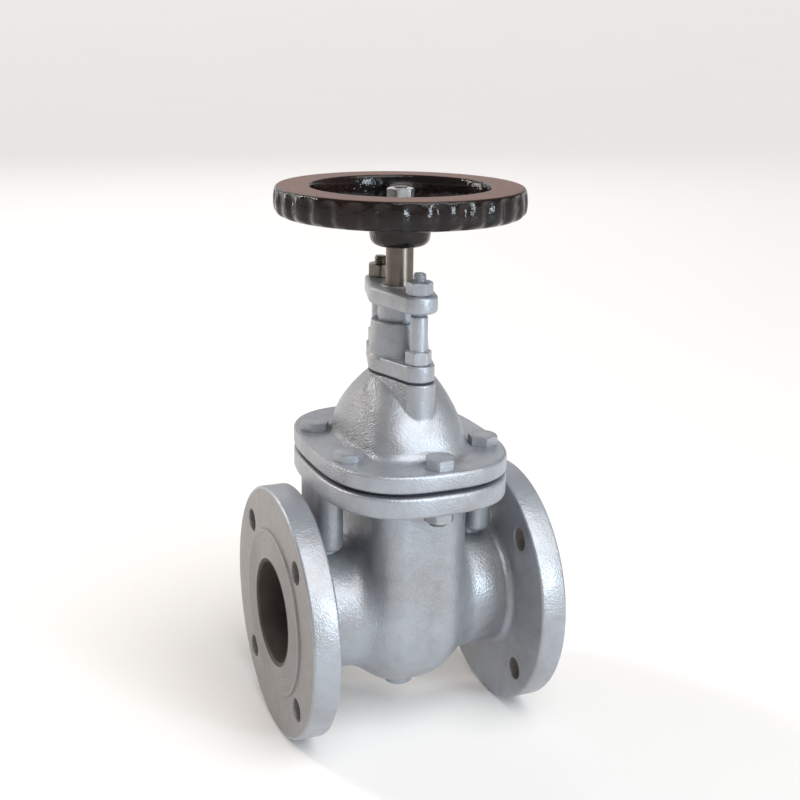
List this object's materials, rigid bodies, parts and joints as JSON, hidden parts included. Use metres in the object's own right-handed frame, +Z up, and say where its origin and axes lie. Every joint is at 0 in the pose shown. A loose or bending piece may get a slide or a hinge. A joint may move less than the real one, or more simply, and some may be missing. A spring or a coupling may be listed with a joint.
{
  "type": "flanged gate valve",
  "caption": "Flanged wedge gate valve of silver-painted cast iron, with an oval bonnet, a stuffing box and gland, a non-rising stem and a black handwheel that lifts the gate.",
  "frame": {"origin": "centre of the inlet bore, on the inlet sealing face", "axes": "+X along the pipe from inlet to outlet, +Z up the stem"},
  "size_m": [0.21, 0.2, 0.431],
  "materials": {
    "silver_paint": "silver paint over a cast surface",
    "black_enamel": "gloss black enamel",
    "bare_steel": "turned bare steel",
    "bronze": "machined bronze",
    "gasket": "matt fibre sheet",
    "packing": "braided graphite yarn",
    "painted_fastener": "silver paint over steel",
    "bare_iron": "bare cast iron, dull brown"
  },
  "bodies": {
    "valve": {"body": "silver_paint", "inlet_seat_ring": "bronze", "outlet_seat_ring": "bronze", "bonnet_gasket": "gasket", "bonnet": "silver_paint", "stuffing_box_gasket": "gasket", "stuffing_box": "silver_paint", "packing": "packing", "gland": "silver_paint", "front_gland_stud": "painted_fastener", "back_gland_stud": "painted_fastener", "front_stuffing_box_nut": "painted_fastener", "back_stuffing_box_nut": "painted_fastener", "front_gland_nut": "painted_fastener", "back_gland_nut": "painted_fastener"},
    "wheel_and_stem": {"stem": "bare_steel", "handwheel": "black_enamel", "handwheel_washer": "bare_steel", "handwheel_nut": "bare_steel"},
    "gate": {"gate": "bare_iron", "inlet_gate_ring": "bronze", "outlet_gate_ring": "bronze", "stem_nut": "bronze"}
  },
  "joints": [
    {"name": "handwheel_turn", "type": "hinge", "parent": "valve", "child": "wheel_and_stem", "pos_m": [0.105, 0, 0.3], "axis": [0, 0, 1], "range_deg": [0, 5940]},
    {"name": "gate_lift", "type": "slide", "parent": "valve", "child": "gate", "axis": [0, 0, 1], "range_m": [0, 0.0825]}
  ],
  "couplings": [
    {"joint": "gate_lift", "follows": "handwheel_turn", "m_per_rad": 0.00079577}
  ]
}
